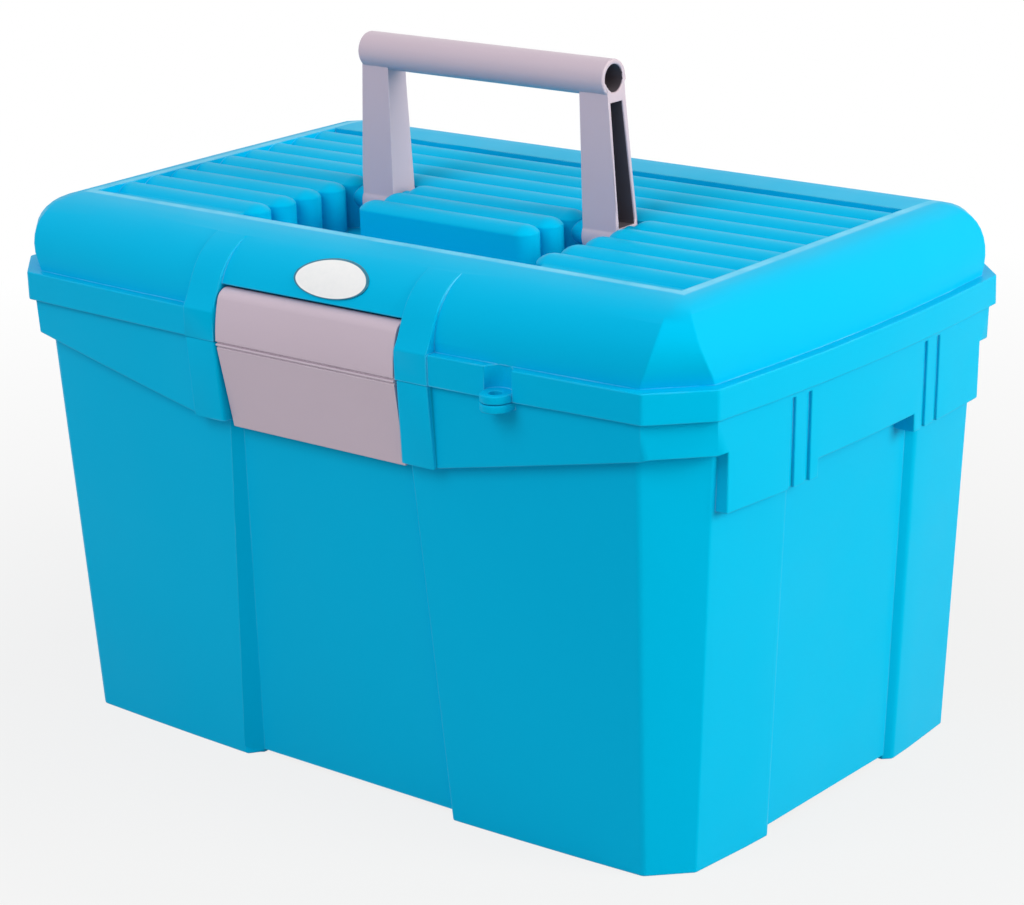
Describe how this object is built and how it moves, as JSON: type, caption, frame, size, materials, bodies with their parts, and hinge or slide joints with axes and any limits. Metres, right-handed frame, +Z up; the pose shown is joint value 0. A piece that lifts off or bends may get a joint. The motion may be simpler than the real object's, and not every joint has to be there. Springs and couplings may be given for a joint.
{
  "type": "grooming box",
  "caption": "Plastic horse grooming box: tapered bin, hinged ribbed lid with fold-down carry handle in a pocket, front snap latch, padlock eye and lift-out tray.",
  "frame": {"origin": "on the floor, under the middle of the rim", "axes": "+Z up, X along the length, -Y towards the latch"},
  "size_m": [0.4, 0.2744, 0.3118],
  "materials": {
    "blue_plastic": "satin moulded plastic, sky blue",
    "grey_plastic": "satin moulded plastic, lavender grey",
    "steel": "plain drawn wire",
    "badge_white": "bare printed sheet"
  },
  "bodies": {
    "bin": {"bin": "blue_plastic", "tray": "grey_plastic", "hinge_rod_left": "steel", "hinge_rod_right": "steel"},
    "lid": {"lid": "blue_plastic", "latch_rod": "steel", "handle_pin_left": "steel", "handle_pin_right": "steel", "badge": "badge_white"},
    "latch": {"latch": "grey_plastic"},
    "handle": {"handle": "grey_plastic"}
  },
  "joints": [
    {"name": "lid_hinge", "type": "hinge", "parent": "bin", "child": "lid", "pos_m": [0, 0.134, 0.199], "axis": [-1, 0, 0], "range_deg": [0, 105]},
    {"name": "latch_pivot", "type": "hinge", "parent": "lid", "child": "latch", "pos_m": [0, -0.1205, 0.216], "axis": [-1, 0, 0], "range_deg": [0, 100]},
    {"name": "handle_fold", "type": "hinge", "parent": "lid", "child": "handle", "pos_m": [0, 0, 0.234], "axis": [1, 0, 0], "range_deg": [0, 90]}
  ]
}
